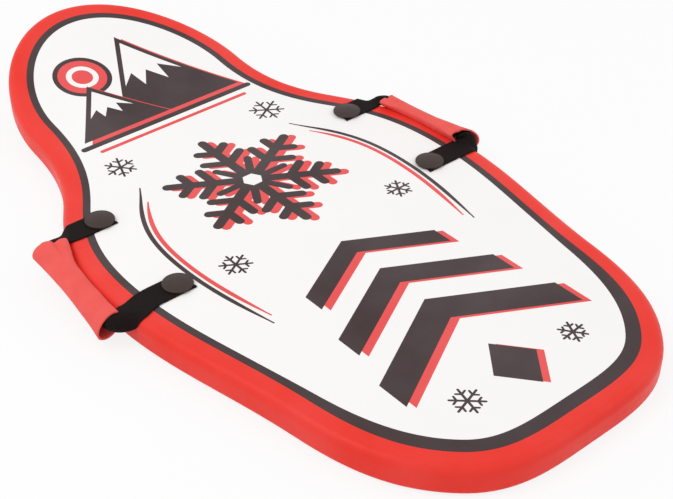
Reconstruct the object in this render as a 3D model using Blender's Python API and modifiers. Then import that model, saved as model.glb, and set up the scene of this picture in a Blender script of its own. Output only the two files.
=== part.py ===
"""Foam snow sled: a foam core in a printed skin on a slick runner sheet,
with two webbing handles plugged through the board.

Metres, +Z up.  The board lies flat on z = 0 with its nose towards +Y, and x = 0 is its middle.
"""
from math import atan2, cos, pi, radians, sin

import bmesh
import bpy
from mathutils import Vector

# Board
SLED_LENGTH = 1.064
SLED_WIDTH = 0.564
SLED_THICKNESS = 0.0385
SKIN_THICKNESS = 0.0014
RUNNER_THICKNESS = 0.0018
TOP_EDGE_RADIUS = 0.012
BOTTOM_EDGE_RADIUS = 0.008
SKIN_TURN_UNDER = 0.016
NOSE_RISE = 0.071
NOSE_BEND_LENGTH = 0.398

# Printed band round the deck
PRINT_MARGIN = 0.026
PRINT_LINE = 0.010

# Plugs that hold the webbing
PLUG_TO_BEND = 0.024
PLUG_PAST_GRIP = 0.004
HINGE_TO_EDGE = 0.024592
CAP_RADIUS = 0.0192
CAP_RIM_HEIGHT = 0.0016
CAP_DOME_HEIGHT = 0.0022
POST_RADIUS = 0.0048
POST_LENGTH = 0.027
BASE_FLANGE_RADIUS = 0.019
BASE_FLANGE_THICKNESS = 0.0024
BASE_RECESS = 0.0006
BASE_TUBE_RADIUS = 0.008
BASE_TUBE_HEIGHT = 0.021

# Webbing
WEBBING_WIDTH = 0.036
WEBBING_THICKNESS = 0.0018
WEBBING_END_OVERHANG = 0.012
WEBBING_END_SLANT = 0.007
HINGE_FROM_PLUG = 0.026
LEAD_RUN = 0.008
TURN_RADIUS = 0.012
MOUTH_DEPTH = 0.003
CURL_RUN = 0.032
CURL_RADIUS = 0.013

# Foam grips
GRIP_LENGTH = 0.162
GRIP_WALL = 0.0022
GRIP_WAIST_LONG = 0.034
GRIP_WAIST_SHORT = 0.023
GRIP_END_LONG = 0.044
GRIP_END_SHORT = 0.028

# Each handle as it lies: the grip's front and rear end, past the board's edge and above the deck
LEFT_FRONT_REACH = 0.0267
LEFT_REAR_REACH = 0.0211
LEFT_FRONT_HEIGHT = -0.004
LEFT_REAR_HEIGHT = -0.006
LEFT_FRONT_LEAN = radians(30)
LEFT_REAR_LEAN = radians(48)
LEFT_FRONT_SLANT = 0.011
LEFT_REAR_SLANT = 0.012
LEFT_FRONT_TWIST = radians(50)
LEFT_REAR_TWIST = radians(50)
LEFT_FRONT_RISE = -0.003
LEFT_REAR_RISE = 0.007
RIGHT_FRONT_REACH = 0.0140
RIGHT_REAR_REACH = 0.0045
RIGHT_FRONT_HEIGHT = 0.0060
RIGHT_REAR_HEIGHT = 0.0130
RIGHT_FRONT_LEAN = radians(48)
RIGHT_REAR_LEAN = radians(14)
RIGHT_FRONT_SLANT = 0.011
RIGHT_REAR_SLANT = 0.015
RIGHT_FRONT_TWIST = radians(50)
RIGHT_REAR_TWIST = radians(46)
RIGHT_FRONT_RISE = 0.004
RIGHT_REAR_RISE = 0.0105

# Clearances
FIT_GAP = 0.0003
HINGE_GAP = 0.0010
RUNNER_EDGE_GAP = 0.0009
MERGE_DISTANCE = 0.00001

# Outline from nose to tail on the right: share of the half width, share of the length, heading
OUTLINE_KNOT_SHARES = (
    (0.0, 1.0, (1.0, 0.0)),
    (0.624, 0.806, (0.0, -1.0)),
    (0.800, 0.657, (0.545, -0.839)),
    (1.0, 0.471, (0.0, -1.0)),
    (0.846, 0.200, (-0.137, -0.990)),
    (0.567, 0.036, (-0.740, -0.672)),
    (0.0, 0.0, (-1.0, 0.0)),
)
OUTLINE_HANDLE_SHARE = 0.37
GRIP_TIP_SHARE = 0.16
RUN_HANDLE_SHARE = 0.4
MOUTH_CURL_SHARE = 0.7
DOME_STEP_SHARES = (0.0, 0.35, 0.62, 0.84, 0.95)

OUTLINE_STEPS = (9, 5, 5, 6, 7, 5)
EDGE_STEPS = 4
NOSE_STEPS = 15
TURN_STEPS = 28
RUN_STEPS = 8
ARC_STEPS = 8
CURL_STEPS = 5
GRIP_STEPS = 10
GRIP_SIDES = 24
WEBBING_SIDES = 6

# Heights worked out from the sizes above
DECK = SLED_THICKNESS
CORE_BOTTOM = RUNNER_THICKNESS + FIT_GAP
CORE_TOP = DECK - SKIN_THICKNESS - FIT_GAP
CORE_INSET = SKIN_THICKNESS + FIT_GAP
SKIN_BOTTOM = RUNNER_THICKNESS - SKIN_THICKNESS
WEBBING_BOTTOM = DECK + FIT_GAP
WEBBING_MIDDLE = WEBBING_BOTTOM + WEBBING_THICKNESS / 2
WEBBING_TOP = WEBBING_BOTTOM + WEBBING_THICKNESS
CAP_BOTTOM = WEBBING_TOP + FIT_GAP
NOSE_Y = SLED_LENGTH / 2
BEND_START_Y = NOSE_Y - NOSE_BEND_LENGTH
PLUG_REACH = GRIP_LENGTH / 2 + PLUG_PAST_GRIP
PLUG_MIDDLE_Y = BEND_START_Y - PLUG_TO_BEND - PLUG_REACH

UP = Vector((0.0, 0.0, 1.0))
FORE = Vector((0.0, 1.0, 0.0))


def clear_scene():
    for item in list(bpy.data.objects):
        bpy.data.objects.remove(item, do_unlink=True)


def new_collection(name):
    collection = bpy.data.collections.new(name)
    bpy.context.scene.collection.children.link(collection)
    return collection


def material(name, colour, roughness, metallic=0.0):
    made = bpy.data.materials.new(name)
    made.use_nodes = True
    made.diffuse_color = (*colour, 1.0)
    shader = made.node_tree.nodes["Principled BSDF"]
    shader.inputs["Base Color"].default_value = (*colour, 1.0)
    shader.inputs["Roughness"].default_value = roughness
    shader.inputs["Metallic"].default_value = metallic
    return made


def add_object(name, mesh, materials, collection, smooth_angle=radians(35)):
    made = bpy.data.objects.new(name, mesh)
    for entry in materials:
        mesh.materials.append(entry)
    mesh.shade_smooth()
    mesh.set_sharp_from_angle(angle=smooth_angle)
    collection.objects.link(made)
    return made


def mesh_from(bm, name):
    mesh = bpy.data.meshes.new(name)
    bm.to_mesh(mesh)
    bm.free()
    return mesh


# Board outline and nose

def bezier(points, t):
    """Point and heading on a cubic curve."""
    a, b, c, d = points
    s = 1.0 - t
    place = a * s**3 + b * 3 * s * s * t + c * 3 * s * t * t + d * t**3
    heading = (b - a) * s * s + (c - b) * 2 * s * t + (d - c) * t * t
    return place, heading.normalized()


def half_outline():
    """Places and outward normals along the right side, from the nose to the tail."""
    knots = []
    for across, along, heading in OUTLINE_KNOT_SHARES:
        place = Vector((across * SLED_WIDTH / 2, (along - 0.5) * SLED_LENGTH, 0.0))
        knots.append((place, Vector((*heading, 0.0)).normalized()))
    found = []
    for steps, start_knot, end_knot in zip(OUTLINE_STEPS, knots, knots[1:]):
        start, start_heading = start_knot
        end, end_heading = end_knot
        handle = (end - start).length * OUTLINE_HANDLE_SHARE
        cage = (start, start + start_heading * handle, end - end_heading * handle, end)
        for step in range(steps):
            found.append(bezier(cage, step / steps))
    found.append(bezier(cage, 1.0))
    return [(place, Vector((-heading.y, heading.x, 0.0))) for place, heading in found]


OUTLINE = half_outline()


def edge_at(y):
    """How far the board's edge is from its middle line at one place along it."""
    for (near, _), (far, _) in zip(OUTLINE, OUTLINE[1:]):
        if far.y <= y <= near.y:
            return far.x + (near.x - far.x) * (y - far.y) / (near.y - far.y)
    return 0.0


HINGE_X = min(edge_at(PLUG_MIDDLE_Y + PLUG_REACH),
              edge_at(PLUG_MIDDLE_Y - PLUG_REACH)) - HINGE_TO_EDGE
PLUG_X = HINGE_X - HINGE_FROM_PLUG


def outline_ring(outline, inset, height):
    """The closed outline, drawn in by inset, at one height."""
    right = [place - normal * inset + UP * height for place, normal in outline]
    left = [Vector((-point.x, point.y, point.z)) for point in reversed(right[1:-1])]
    return right + left


def outer_edge(depth, low, top_radius, bottom_radius):
    """Inset and height of the rings round a board's edge, from its flat top to its flat bottom."""
    rings = []
    for step in range(EDGE_STEPS + 1):
        angle = pi / 2 * step / EDGE_STEPS
        rings.append((top_radius * (1 - sin(angle)), depth - top_radius * (1 - cos(angle))))
    for step in range(EDGE_STEPS + 1):
        angle = pi / 2 * step / EDGE_STEPS
        rings.append((bottom_radius * (1 - cos(angle)), low + bottom_radius * (1 - sin(angle))))
    return rings


def loft(rings, close_top=True, close_bottom=True, fills=None):
    """Bridge the rings in turn, and close the first and last with a face each."""
    bm = bmesh.new()
    loops = [[bm.verts.new(point) for point in ring] for ring in rings]
    if close_top:
        face = bm.faces.new(list(reversed(loops[0])))
        face.material_index = fills[0] if fills else 0
    for row, (upper, lower) in enumerate(zip(loops, loops[1:])):
        for i in range(len(upper)):
            k = (i + 1) % len(upper)
            face = bm.faces.new((upper[i], upper[k], lower[k], lower[i]))
            face.material_index = fills[row + 1] if fills else 0
    if close_bottom:
        bm.faces.new(loops[-1])
    return bm


def nose_rise(y):
    """Height that the nose bend adds: even steps between stations, on a parabola."""
    if y <= BEND_START_Y:
        return 0.0
    place = min((y - BEND_START_Y) / NOSE_BEND_LENGTH, 1.0) * NOSE_STEPS
    step = min(int(place), NOSE_STEPS - 1)
    low = (step / NOSE_STEPS) ** 2
    high = ((step + 1) / NOSE_STEPS) ** 2
    return NOSE_RISE * (low + (high - low) * (place - step))


def bend_nose(bm):
    """Cut the flat board across at each station, then lift it."""
    for step in range(NOSE_STEPS):
        station = BEND_START_Y + NOSE_BEND_LENGTH * step / NOSE_STEPS
        geometry = bm.verts[:] + bm.edges[:] + bm.faces[:]
        bmesh.ops.bisect_plane(bm, geom=geometry, plane_co=FORE * station, plane_no=FORE)
    for vert in bm.verts:
        vert.co.z += nose_rise(vert.co.y)


def cylinder_cutter(name, place, radius, low, high, collection):
    bm = bmesh.new()
    bmesh.ops.create_cone(bm, cap_ends=True, segments=TURN_STEPS, radius1=radius,
                          radius2=radius, depth=high - low)
    bmesh.ops.translate(bm, verts=bm.verts, vec=place + UP * (low + high) / 2)
    made = bpy.data.objects.new(name, mesh_from(bm, name))
    made.hide_render = True
    made.display_type = "WIRE"
    collection.objects.link(made)
    return made


def cut(target, cutter):
    change = target.modifiers.new(cutter.name, "BOOLEAN")
    change.operation = "DIFFERENCE"
    change.solver = "EXACT"
    change.object = cutter


def plug_places():
    """Name and place of each plug, left and right, front and rear."""
    places = []
    for side_name, side in (("left", -1), ("right", 1)):
        for end_name, end in (("front", 1), ("rear", -1)):
            place = Vector((side * PLUG_X, PLUG_MIDDLE_Y + end * PLUG_REACH, 0.0))
            places.append((side_name + "_" + end_name, place, side, end))
    return places


def build_board(parts, cutters, colours):
    outline = OUTLINE
    edge = outer_edge(DECK, SKIN_BOTTOM, TOP_EDGE_RADIUS, BOTTOM_EDGE_RADIUS)
    profile = [(PRINT_MARGIN + PRINT_LINE, DECK), (PRINT_MARGIN, DECK)] + edge
    profile.append((SKIN_TURN_UNDER, SKIN_BOTTOM))
    rings = [outline_ring(outline, inset, height) for inset, height in profile]
    bm = loft(rings, close_bottom=False, fills=[1, 2] + [0] * len(profile))
    bend_nose(bm)
    skin = add_object("deck_skin", mesh_from(bm, "deck_skin"),
                      (colours["skin"], colours["print_field"], colours["print_line"]), parts)
    shell = skin.modifiers.new("skin_thickness", "SOLIDIFY")
    shell.thickness = SKIN_THICKNESS
    shell.offset = -1.0
    shell.use_even_offset = True

    edge = outer_edge(CORE_TOP, CORE_BOTTOM, TOP_EDGE_RADIUS - CORE_INSET,
                      BOTTOM_EDGE_RADIUS - CORE_INSET)
    rings = [outline_ring(outline, CORE_INSET + inset, height) for inset, height in edge]
    bm = loft(rings)
    bend_nose(bm)
    core = add_object("foam_core", mesh_from(bm, "foam_core"), (colours["core"],), parts)

    runner_inset = SKIN_TURN_UNDER + RUNNER_EDGE_GAP
    rings = [outline_ring(outline, runner_inset, RUNNER_THICKNESS),
             outline_ring(outline, runner_inset, RUNNER_THICKNESS / 2),
             outline_ring(outline, runner_inset + RUNNER_THICKNESS / 2, 0.0)]
    bm = loft(rings)
    bend_nose(bm)
    runner = add_object("slick_runner_sheet", mesh_from(bm, "slick_runner_sheet"),
                        (colours["runner"],), parts)

    flange_top = BASE_RECESS + BASE_FLANGE_THICKNESS + FIT_GAP
    for name, place, _, _ in plug_places():
        post_hole = cylinder_cutter("post_hole_" + name, place, POST_RADIUS + FIT_GAP,
                                    CORE_TOP, CAP_BOTTOM, cutters)
        tube_hole = cylinder_cutter("tube_hole_" + name, place, BASE_TUBE_RADIUS + FIT_GAP,
                                    -FIT_GAP, CORE_TOP + FIT_GAP, cutters)
        flange_hole = cylinder_cutter("flange_hole_" + name, place,
                                      BASE_FLANGE_RADIUS + FIT_GAP, -FIT_GAP, flange_top, cutters)
        cut(skin, post_hole)
        cut(core, tube_hole)
        cut(core, flange_hole)
        cut(runner, flange_hole)


# Plugs

def turned(name, profile, place, colour, collection):
    """A profile of radius and height, turned about its own axis."""
    mesh = bpy.data.meshes.new(name)
    points = [(radius, 0.0, height) for radius, height in profile]
    mesh.from_pydata(points, [(i, i + 1) for i in range(len(points) - 1)], [])
    made = add_object(name, mesh, (colour,), collection)
    made.location = place
    turn = made.modifiers.new("turn", "SCREW")
    turn.steps = TURN_STEPS
    turn.render_steps = TURN_STEPS
    turn.use_merge_vertices = True
    turn.merge_threshold = MERGE_DISTANCE
    turn.use_smooth_shade = True
    return made


def cap_profile():
    """A domed disc and its post, from the middle of the top round to the foot of the post."""
    rim_top = CAP_BOTTOM + CAP_RIM_HEIGHT
    profile = [(CAP_RADIUS * share, rim_top + CAP_DOME_HEIGHT * (1 - share**2))
               for share in DOME_STEP_SHARES]
    profile.append((CAP_RADIUS, CAP_BOTTOM + CAP_RIM_HEIGHT / 2))
    profile.append((CAP_RADIUS - CAP_RIM_HEIGHT / 2, CAP_BOTTOM))
    foot = CAP_BOTTOM - POST_LENGTH
    profile.append((POST_RADIUS, CAP_BOTTOM))
    profile.append((POST_RADIUS, foot + POST_RADIUS / 2))
    profile.append((POST_RADIUS / 2, foot))
    profile.append((0.0, foot))
    return profile


def base_profile():
    """A flanged tube, open at the top, from its mouth round to the floor of its bore."""
    flange_top = BASE_RECESS + BASE_FLANGE_THICKNESS
    mouth = BASE_RECESS + BASE_TUBE_HEIGHT
    bore = POST_RADIUS + FIT_GAP
    return [(0.0, flange_top), (bore, flange_top), (bore, mouth), (BASE_TUBE_RADIUS, mouth),
            (BASE_TUBE_RADIUS, flange_top), (BASE_FLANGE_RADIUS, flange_top),
            (BASE_FLANGE_RADIUS, BASE_RECESS), (0.0, BASE_RECESS)]


def build_plugs(parts, colours):
    for name, place, _, _ in plug_places():
        turned(name + "_plug_cap", cap_profile(), place, colours["plug"], parts)
        turned(name + "_plug_base", base_profile(), place, colours["plug"], parts)


# Webbing

def build_tab(name, place, side, parts, cutters, colours):
    """The flat end of the webbing under one cap, its free end cut on the slant."""
    outer = side * (HINGE_FROM_PLUG - WEBBING_THICKNESS / 2 - HINGE_GAP)
    half = WEBBING_WIDTH / 2
    inner = -side * WEBBING_END_OVERHANG
    corners = ((outer, -half), (outer, half), (inner - WEBBING_END_SLANT / 2, half),
               (inner + WEBBING_END_SLANT / 2, -half))
    curve = bpy.data.curves.new(name, "CURVE")
    curve.dimensions = "2D"
    curve.fill_mode = "BOTH"
    curve.extrude = WEBBING_THICKNESS / 2
    line = curve.splines.new("POLY")
    line.points.add(len(corners) - 1)
    for point, (x, y) in zip(line.points, corners):
        point.co = (x, y, 0.0, 1.0)
    line.use_cyclic_u = True
    drawn = bpy.data.objects.new(name + "_outline", curve)
    parts.objects.link(drawn)
    bpy.context.view_layer.update()
    depsgraph = bpy.context.evaluated_depsgraph_get()
    mesh = bpy.data.meshes.new_from_object(drawn.evaluated_get(depsgraph))
    bpy.data.objects.remove(drawn, do_unlink=True)
    bm = bmesh.new()
    bm.from_mesh(mesh)
    bmesh.ops.remove_doubles(bm, verts=bm.verts, dist=MERGE_DISTANCE)
    bmesh.ops.recalc_face_normals(bm, faces=bm.faces)
    bm.to_mesh(mesh)
    bm.free()
    mesh.materials.clear()
    tab = add_object(name, mesh, (colours["webbing"],), parts)
    tab.location = place + UP * WEBBING_MIDDLE
    hole = cylinder_cutter("hole_" + name, place, POST_RADIUS + FIT_GAP,
                           WEBBING_BOTTOM - FIT_GAP, WEBBING_TOP + FIT_GAP, cutters)
    cut(tab, hole)


def ease(share):
    share = min(max(share, 0.0), 1.0)
    return share * share * (3 - 2 * share)


def handle_frame(side):
    """Where one grip lies: its two ends and its run."""
    left = side < 0
    front_reach = LEFT_FRONT_REACH if left else RIGHT_FRONT_REACH
    rear_reach = LEFT_REAR_REACH if left else RIGHT_REAR_REACH
    front_height = LEFT_FRONT_HEIGHT if left else RIGHT_FRONT_HEIGHT
    rear_height = LEFT_REAR_HEIGHT if left else RIGHT_REAR_HEIGHT
    front_y = PLUG_MIDDLE_Y + GRIP_LENGTH / 2
    rear_y = PLUG_MIDDLE_Y - GRIP_LENGTH / 2
    front = Vector((side * (edge_at(front_y) + front_reach), front_y, DECK + front_height))
    rear = Vector((side * (edge_at(rear_y) + rear_reach), rear_y, DECK + rear_height))
    return front, rear, (rear - front).normalized()


def section_axes(side, run, share):
    """The long and short axes of a grip's section: its lean turns from one end to the other."""
    front_lean = LEFT_FRONT_LEAN if side < 0 else RIGHT_FRONT_LEAN
    rear_lean = LEFT_REAR_LEAN if side < 0 else RIGHT_REAR_LEAN
    lean = front_lean + (rear_lean - front_lean) * share
    across = Vector((side * cos(lean), 0.0, -sin(lean)))
    across = (across - run * across.dot(run)).normalized()
    return across, run.cross(across) * side


def plan_route(side, end, mouth, into):
    """The strap seen from above: out from its plug, then round a bend into the grip's mouth.

    Each stop is a place and the level direction square to the strap, on its outer side.
    """
    out = Vector((side, 0.0, 0.0))
    away = FORE * end
    hinge = Vector((side * HINGE_X, PLUG_MIDDLE_Y + end * PLUG_REACH, 0.0))
    start = hinge + out * LEAD_RUN
    finish = mouth + into * MOUTH_DEPTH
    finish.z = 0.0
    bend = atan2(-into.dot(away), into.dot(out))
    corner = finish - out * TURN_RADIUS * sin(bend) + away * TURN_RADIUS * (1 - cos(bend))
    handle = out * (corner - start).dot(out) * RUN_HANDLE_SHARE
    cage = (start, start + handle, corner - handle, corner)
    stops = [(hinge, away)]
    for step in range(RUN_STEPS):
        place, heading = bezier(cage, step / RUN_STEPS)
        stops.append((place, away * heading.dot(out) - out * heading.dot(away)))
    for step in range(ARC_STEPS + 1):
        angle = bend * step / ARC_STEPS
        place = corner + out * TURN_RADIUS * sin(angle) - away * TURN_RADIUS * (1 - cos(angle))
        stops.append((place, out * sin(angle) + away * cos(angle)))
    return stops


def twist_at(share, corner_share, start_share, twist, lean):
    """Roll of the strap: flat at the plug, most at the bend, and the grip's lean in its mouth."""
    if share < corner_share:
        return twist * ease((share - start_share) / (corner_share - start_share))
    return twist + (lean - twist) * ease((share - corner_share) / (1 - corner_share))


def webbing_path(side):
    """Stations along the loop: place, width direction, face direction and share of the curl."""
    front, rear, run = handle_frame(side)
    crown_offset = GRIP_WAIST_SHORT / 2 - GRIP_WALL - WEBBING_THICKNESS / 2 - FIT_GAP
    front_lean = LEFT_FRONT_LEAN if side < 0 else RIGHT_FRONT_LEAN
    rear_lean = LEFT_REAR_LEAN if side < 0 else RIGHT_REAR_LEAN
    front_twist = LEFT_FRONT_TWIST if side < 0 else RIGHT_FRONT_TWIST
    rear_twist = LEFT_REAR_TWIST if side < 0 else RIGHT_REAR_TWIST
    front_rise = LEFT_FRONT_RISE if side < 0 else RIGHT_FRONT_RISE
    rear_rise = LEFT_REAR_RISE if side < 0 else RIGHT_REAR_RISE
    halves = []
    for end, mouth, rise, twist, lean in (
            (1, front, front_rise, front_twist, front_lean),
            (-1, rear, rear_rise, rear_twist, rear_lean)):
        into = run * end
        across, crown = section_axes(side, run, (1 - end) / 2)
        stops = plan_route(side, end, mouth, into)
        runs = [0.0]
        for before, after in zip(stops, stops[1:]):
            runs.append(runs[-1] + (after[0] - before[0]).length)
        shares = [(length - LEAD_RUN) / (runs[-1] - LEAD_RUN) for length in runs]
        corner_share = shares[RUN_STEPS + 1]
        passing = edge_at(PLUG_MIDDLE_Y + end * PLUG_REACH) - TOP_EDGE_RADIUS
        start_share = max([0.0] + [share for share, (place, _) in zip(shares, stops)
                                   if abs(place.x) <= passing])
        finish_height = (mouth + into * MOUTH_DEPTH).z
        places = []
        curls = []
        for share, (place, _) in zip(shares, stops):
            curl = MOUTH_CURL_SHARE * ease((share - corner_share) / (1 - corner_share))
            height = WEBBING_MIDDLE + rise * ease(share / corner_share)
            height += (finish_height - WEBBING_MIDDLE - rise) * ease(
                (share - corner_share) / (1 - corner_share))
            places.append(place + UP * height + crown * crown_offset * curl)
            curls.append(curl)
        half = []
        for i, (share, (_, outer)) in enumerate(zip(shares, stops)):
            heading = places[min(i + 1, len(places) - 1)] - places[max(i - 1, 0)]
            level = (outer - heading * outer.dot(heading) / heading.dot(heading)).normalized()
            top = (heading.cross(level) * side * end).normalized()
            if i < 2:
                level = outer
                top = UP
            roll = twist_at(share, corner_share, start_share, twist, lean)
            half.append((places[i], level * cos(roll) - top * sin(roll),
                         top * cos(roll) + level * sin(roll), curls[i]))
        half.pop()
        for step in range(CURL_STEPS + 1):
            share = step / CURL_STEPS
            curl = MOUTH_CURL_SHARE + (1 - MOUTH_CURL_SHARE) * ease(share)
            depth = MOUTH_DEPTH + CURL_RUN * share
            across, crown = section_axes(side, run, (1 - end) / 2 + end * depth / GRIP_LENGTH)
            place = mouth + into * depth + crown * crown_offset * curl
            half.append((place, across, crown, curl))
        halves.append(half)
    front_half, rear_half = halves
    return front_half + list(reversed(rear_half))


def webbing_section(place, width, face, curl, thickness):
    """A flat or curled band section: the upper points across, then the lower ones back."""
    upper = []
    lower = []
    bend = curl / CURL_RADIUS
    for k in range(WEBBING_SIDES + 1):
        along = (k / WEBBING_SIDES - 0.5) * WEBBING_WIDTH
        angle = along * bend
        if abs(bend * WEBBING_WIDTH) < 0.001:
            centre = place + width * along
            normal = face
        else:
            centre = place + width * sin(angle) / bend - face * (1 - cos(angle)) / bend
            normal = face * cos(angle) + width * sin(angle)
        upper.append(centre + normal * thickness / 2)
        lower.append(centre - normal * thickness / 2)
    return upper + list(reversed(lower))


def build_loop(name, side, parts, colours):
    """The free part of one webbing handle, twisted on its way from each plug into the grip."""
    path = webbing_path(side)
    out = Vector((side, 0.0, 0.0))
    nib = WEBBING_THICKNESS / 2 * sin(radians(55))
    thin = WEBBING_THICKNESS * cos(radians(60))
    first, last = path[0], path[-1]
    sections = [webbing_section(first[0] - out * nib, first[1], first[2], 0.0, thin)]
    sections += [webbing_section(*station, WEBBING_THICKNESS) for station in path]
    sections.append(webbing_section(last[0] - out * nib, last[1], last[2], 0.0, thin))
    bm = loft(sections)
    bmesh.ops.recalc_face_normals(bm, faces=bm.faces)
    made = add_object(name, mesh_from(bm, name), (colours["webbing"],), parts)
    set_origin(made, Vector((side * HINGE_X, PLUG_MIDDLE_Y, WEBBING_MIDDLE)))


def set_origin(made, origin):
    """Put the object's own origin on its joint without moving its shape."""
    for vert in made.data.vertices:
        vert.co -= origin
    made.location = origin


# Grips

def build_grip(name, side, parts, colours):
    """A rolled foam sleeve, drawn in at the waist, with its seam on the inboard side."""
    front, rear, run = handle_frame(side)
    front_slant = LEFT_FRONT_SLANT if side < 0 else RIGHT_FRONT_SLANT
    rear_slant = LEFT_REAR_SLANT if side < 0 else RIGHT_REAR_SLANT
    rings = []
    for step in range(GRIP_STEPS + 1):
        share = step / GRIP_STEPS
        across, crown = section_axes(side, run, share)
        flare = abs(2 * share - 1) ** 1.7
        long_half = (GRIP_WAIST_LONG + (GRIP_END_LONG - GRIP_WAIST_LONG) * flare) / 2
        short_half = (GRIP_WAIST_SHORT + (GRIP_END_SHORT - GRIP_WAIST_SHORT) * flare) / 2
        ring = []
        for k in range(GRIP_SIDES):
            angle = 2 * pi * k / GRIP_SIDES
            tip = 1 + GRIP_TIP_SHARE * max(0.0, -cos(angle)) ** 5
            slant = front_slant * (1 - share) - rear_slant * share
            shortened = run * slant * (1 - cos(angle)) / 2
            ring.append(front.lerp(rear, share) + shortened
                        + across * long_half * tip * cos(angle) + crown * short_half * sin(angle))
        rings.append(ring)
    bm = loft(rings, close_top=False, close_bottom=False)
    middle = (front + rear) / 2
    bm.normal_update()
    face = bm.faces[:][GRIP_SIDES * (GRIP_STEPS // 2)]
    foot = front + run * (face.calc_center_median() - front).dot(run)
    if face.normal.dot(face.calc_center_median() - foot) < 0:
        bmesh.ops.reverse_faces(bm, faces=bm.faces)
    made = add_object(name, mesh_from(bm, name), (colours["grip"],), parts)
    set_origin(made, middle)
    shell = made.modifiers.new("foam_thickness", "SOLIDIFY")
    shell.thickness = GRIP_WALL
    shell.offset = -1.0
    shell.use_even_offset = True


def build():
    clear_scene()
    parts = new_collection("foam_snow_sled")
    cutters = new_collection("cutters")
    colours = {
        "skin": material("red_foam_skin", (0.871, 0.048, 0.033), 0.42),
        "print_field": material("white_print", (0.94, 0.92, 0.90), 0.42),
        "print_line": material("charcoal_print", (0.067, 0.041, 0.042), 0.42),
        "core": material("white_core_foam", (0.85, 0.85, 0.83), 0.85),
        "runner": material("red_slick_sheet", (0.72, 0.035, 0.026), 0.25),
        "plug": material("charcoal_plastic", (0.088, 0.058, 0.054), 0.38),
        "webbing": material("black_webbing", (0.015, 0.009, 0.008), 0.80),
        "grip": material("salmon_foam", (0.896, 0.125, 0.114), 0.60),
    }
    build_board(parts, cutters, colours)
    build_plugs(parts, colours)
    for name, place, side, _ in plug_places():
        build_tab(name + "_webbing_tab", place, side, parts, cutters, colours)
    for side_name, side in (("left", -1), ("right", 1)):
        build_loop(side_name + "_webbing_loop", side, parts, colours)
        build_grip(side_name + "_foam_grip", side, parts, colours)


build()
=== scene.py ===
"""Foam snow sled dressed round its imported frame. Metres, +Z up, nose towards +Y."""
from math import atan2, cos, exp, pi, radians, sin, sqrt

import bmesh
import bpy
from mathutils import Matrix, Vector, noise
from mathutils.geometry import delaunay_2d_cdt


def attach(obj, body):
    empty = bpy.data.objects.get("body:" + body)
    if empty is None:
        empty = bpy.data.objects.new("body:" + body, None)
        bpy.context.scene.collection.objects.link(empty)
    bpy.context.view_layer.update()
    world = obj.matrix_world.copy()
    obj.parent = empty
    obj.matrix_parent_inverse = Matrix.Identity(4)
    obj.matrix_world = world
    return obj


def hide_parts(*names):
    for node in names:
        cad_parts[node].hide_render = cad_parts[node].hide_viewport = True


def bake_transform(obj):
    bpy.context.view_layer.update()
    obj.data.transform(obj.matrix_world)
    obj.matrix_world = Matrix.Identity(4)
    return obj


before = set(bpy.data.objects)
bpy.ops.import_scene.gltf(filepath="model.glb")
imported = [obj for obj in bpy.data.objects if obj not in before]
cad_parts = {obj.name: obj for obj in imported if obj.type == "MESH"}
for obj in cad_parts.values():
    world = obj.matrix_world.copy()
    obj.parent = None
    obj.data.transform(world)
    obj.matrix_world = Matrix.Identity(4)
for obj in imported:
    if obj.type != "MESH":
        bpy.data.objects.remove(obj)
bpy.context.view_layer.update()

UP = Vector((0.0, 0.0, 1.0))
FORE = Vector((0.0, 1.0, 0.0))
MERGE_DISTANCE = 0.000001
FIT_GAP = 0.0003

# Board
SLED_LENGTH = 1.064
SLED_WIDTH = 0.564
DECK = 0.0385
SKIN_THICKNESS = 0.0014
SKIN_TURN_UNDER = 0.016
RUNNER_THICKNESS = 0.0018
RUNNER_EDGE_GAP = 0.0009
TOP_EDGE_RADIUS = 0.012
BOTTOM_EDGE_RADIUS = 0.008
EDGE_STEPS = 8
PRINT_BORDER_GUARD = 0.001
PRINT_MARGIN = 0.026
PRINT_LINE = 0.010
TAIL_LINE_EXTRA = 0.008
TAIL_LINE_START_Y = -0.24
TAIL_LINE_RUN = 0.22
NOSE_RISE = 0.071
NOSE_BEND_LENGTH = 0.398
NOSE_STEPS = 60
BEND_START_Y = SLED_LENGTH / 2 - NOSE_BEND_LENGTH

# Right half of the outline from nose to tail: each knot as a share of the half width and of the
# length from the tail, with the way the outline runs there
OUTLINE_KNOT_SHARES = (
    (0.0, 1.0, (1.0, 0.0)),
    (0.624, 0.806, (0.0, -1.0)),
    (0.800, 0.657, (0.545, -0.839)),
    (1.0, 0.471, (0.0, -1.0)),
    (0.846, 0.200, (-0.137, -0.990)),
    (0.567, 0.036, (-0.740, -0.672)),
    (0.0, 0.0, (-1.0, 0.0)),
)
OUTLINE_STEPS = (36, 20, 20, 24, 28, 20)
OUTLINE_HANDLE_SHARE = 0.37

# Plugs
PLUG_X = 0.205
PLUG_MIDDLE_Y = 0.025
PLUG_HALF_SPACING_Y = 0.085
PLUG_PLACES = [(x, y) for x in (-PLUG_X, PLUG_X)
               for y in (PLUG_MIDDLE_Y - PLUG_HALF_SPACING_Y, PLUG_MIDDLE_Y + PLUG_HALF_SPACING_Y)]
TURN_STEPS = 96
CAP_RADIUS = 0.0192
CAP_RIM_HEIGHT = 0.0016
CAP_DOME_HEIGHT = 0.0022
CAP_DOME_POWER = 2.3
CAP_DOME_STEPS = 13
CAP_FILLET = 0.0011
CAP_FILLET_DROP = 0.0004
CAP_FILLET_TURN = pi * 0.42
CAP_FILLET_STEPS = 6
CAP_LOWER_FILLET = 0.0006
CAP_LOWER_FILLET_STEPS = 4
POST_RADIUS = 0.0048
POST_LENGTH = 0.027
POST_ROOT_WIDENING = 0.0006
POST_ROOT_DROP = 0.0002
BASE_FLANGE_RADIUS = 0.019
BASE_FLANGE_THICKNESS = 0.0024
BASE_FLANGE_CHAMFER = 0.0007
BASE_RECESS = 0.0006
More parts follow.
